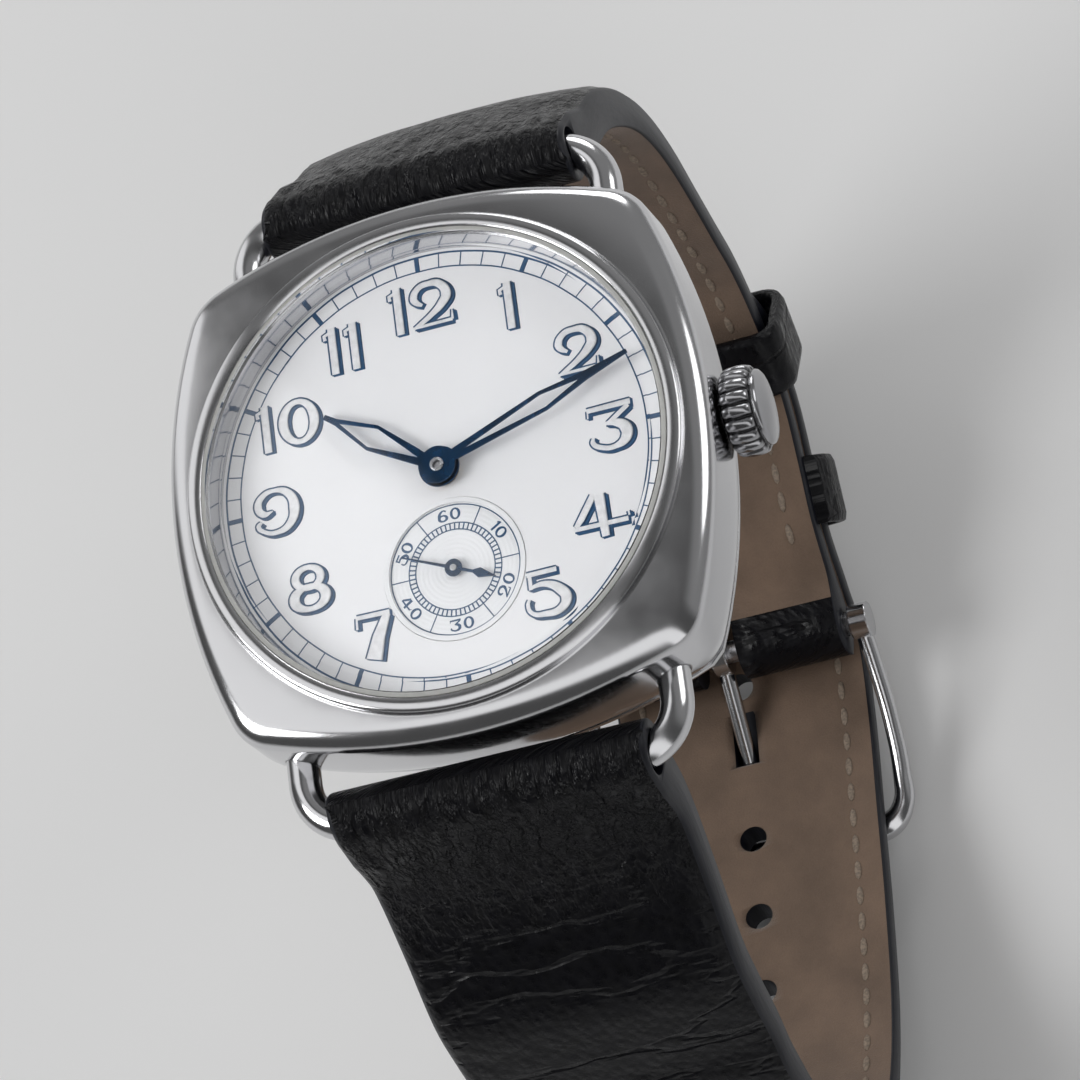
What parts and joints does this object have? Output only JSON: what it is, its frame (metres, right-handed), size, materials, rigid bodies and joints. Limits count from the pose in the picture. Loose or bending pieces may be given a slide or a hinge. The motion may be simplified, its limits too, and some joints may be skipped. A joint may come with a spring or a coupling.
{
  "type": "wristwatch",
  "caption": "Cushion-cased mechanical wristwatch with domed crystal, wire lugs, small seconds dial, fluted crown and closed leather strap.",
  "frame": {"origin": "centre of the case back's flat outer face", "axes": "+Z out of the dial, +Y to 12 o'clock, +X to the crown"},
  "size_m": [0.0367, 0.0671, 0.065],
  "materials": {
    "steel": "polished steel",
    "steel_dark": "satin steel",
    "blued": "blued steel",
    "dial_white": "matt lacquer",
    "dial_silver": "engine-turned silver",
    "crystal": "clear",
    "gasket": "matt",
    "gasket_clear": "translucent nylon",
    "leather": "grained black, tan lining",
    "brass": "gilt brass",
    "nickel": "nickel-plated brass, grained",
    "ruby": "polished synthetic ruby"
  },
  "bodies": {
    "case": {"case_middle": "steel", "case_back": "steel", "back_gasket": "gasket", "crystal": "crystal", "crystal_gasket": "gasket_clear", "rehaut": "steel", "lug_wire_12": "steel", "lug_wire_6": "steel", "crown_tube": "steel_dark", "dial": "dial_white", "sub_dial": "dial_silver", "main_plate": "nickel", "movement_ring": "steel_dark", "case_clamps": "steel_dark", "hairspring": "blued", "balance_cock": "nickel", "barrel_bridge": "nickel", "train_bridge": "nickel", "jewels": "ruby", "bridge_screws": "blued", "strap_short": "leather", "strap_long": "leather", "keeper_fixed": "leather", "buckle_bar": "steel_dark"},
    "minute_group": {"cannon_pinion": "steel_dark", "minute_hand": "blued"},
    "motion_wheel": {"minute_wheel": "brass"},
    "hour_group": {"hour_wheel": "brass", "hour_hand": "blued"},
    "seconds_group": {"fourth_wheel": "brass", "seconds_hand": "blued"},
    "third": {"third_wheel": "brass"},
    "centre": {"centre_wheel": "brass"},
    "mainspring_barrel": {"barrel": "brass"},
    "escape": {"escape_wheel": "steel_dark"},
    "fork": {"pallet_fork": "steel_dark"},
    "balance_wheel": {"balance": "brass"},
    "clutch": {"sliding_clutch": "steel_dark"},
    "crown_and_stem": {"crown": "steel", "stem": "steel_dark"},
    "winding": {"winding_pinion": "steel_dark"},
    "crown_gear": {"crown_wheel": "steel_dark"},
    "ratchet": {"ratchet_wheel": "steel_dark"},
    "loop_free": {"keeper_free": "leather"},
    "buckle": {"buckle_frame": "steel"},
    "tang": {"buckle_tang": "steel"}
  },
  "joints": [
    {"name": "minute_spin", "type": "hinge", "parent": "case", "child": "minute_group", "pos_m": [0, 0, 0.005], "axis": [0, 0, 1], "continuous": true},
    {"name": "motion_wheel_spin", "type": "hinge", "parent": "case", "child": "motion_wheel", "pos_m": [0.0015, 0.0026, 0.0049], "axis": [0, 0, 1], "continuous": true},
    {"name": "hour_spin", "type": "hinge", "parent": "case", "child": "hour_group", "pos_m": [0, 0, 0.0052], "axis": [0, 0, 1], "continuous": true},
    {"name": "seconds_spin", "type": "hinge", "parent": "case", "child": "seconds_group", "pos_m": [0, -0.0063, 0.003], "axis": [0, 0, 1], "continuous": true},
    {"name": "third_spin", "type": "hinge", "parent": "case", "child": "third", "pos_m": [-0.00445, -0.0038, 0.003], "axis": [0, 0, 1], "continuous": true},
    {"name": "centre_spin", "type": "hinge", "parent": "case", "child": "centre", "pos_m": [0, 0, 0.0026], "axis": [0, 0, 1], "continuous": true},
    {"name": "barrel_spin", "type": "hinge", "parent": "case", "child": "mainspring_barrel", "pos_m": [0.0034, 0.00629, 0.003], "axis": [0, 0, 1], "continuous": true},
    {"name": "escape_spin", "type": "hinge", "parent": "case", "child": "escape", "pos_m": [0.00468, -0.00755, 0.003], "axis": [0, 0, 1], "continuous": true},
    {"name": "fork_swing", "type": "hinge", "parent": "case", "child": "fork", "pos_m": [0.00544, -0.0055, 0.0035], "axis": [0, 0, 1], "range_deg": [-5, 5]},
    {"name": "balance_swing", "type": "hinge", "parent": "case", "child": "balance_wheel", "pos_m": [0.0083, -0.005, 0.0028], "axis": [0, 0, 1], "range_deg": [-50, 190]},
    {"name": "crown_spin", "type": "hinge", "parent": "case", "child": "clutch", "pos_m": [0.0106, 0, 0.0036], "axis": [1, 0, 0], "continuous": true},
    {"name": "crown_pull", "type": "slide", "parent": "clutch", "child": "crown_and_stem", "axis": [1, 0, 0], "range_m": [0, 0.001]},
    {"name": "winding_pinion_spin", "type": "hinge", "parent": "case", "child": "winding", "pos_m": [0.0119, 0, 0.0036], "axis": [1, 0, 0], "continuous": true},
    {"name": "crown_wheel_spin", "type": "hinge", "parent": "case", "child": "crown_gear", "pos_m": [0.0086, 0, 0.0018], "axis": [0, 0, 1], "continuous": true},
    {"name": "ratchet_spin", "type": "hinge", "parent": "case", "child": "ratchet", "pos_m": [0.0034, 0.00629, 0.0018], "axis": [0, 0, 1], "continuous": true},
    {"name": "keeper_slide", "type": "slide", "parent": "case", "child": "loop_free", "axis": [0, -0.6374, -0.7705], "range_m": [-0.0012, 0.0012]},
    {"name": "buckle_swing", "type": "hinge", "parent": "case", "child": "buckle", "pos_m": [0, 0.0055, -0.0481], "axis": [1, 0, 0], "range_deg": [0, 3]},
    {"name": "tang_swing", "type": "hinge", "parent": "case", "child": "tang", "pos_m": [0, 0.0055, -0.0481], "axis": [1, 0, 0], "range_deg": [0, 3]}
  ],
  "couplings": [
    {"joint": "motion_wheel_spin", "follows": "minute_spin", "ratio": -0.33333},
    {"joint": "hour_spin", "follows": "minute_spin", "ratio": 0.083333},
    {"joint": "third_spin", "follows": "seconds_spin", "ratio": -0.13333},
    {"joint": "centre_spin", "follows": "seconds_spin", "ratio": 0.016667},
    {"joint": "barrel_spin", "follows": "seconds_spin", "ratio": -0.0027778},
    {"joint": "escape_spin", "follows": "seconds_spin", "ratio": -10},
    {"joint": "winding_pinion_spin", "follows": "crown_spin", "ratio": 1},
    {"joint": "crown_wheel_spin", "follows": "crown_spin", "ratio": 0.58333},
    {"joint": "ratchet_spin", "follows": "crown_spin", "ratio": -0.35},
    {"joint": "tang_swing", "follows": "buckle_swing", "ratio": 1}
  ]
}
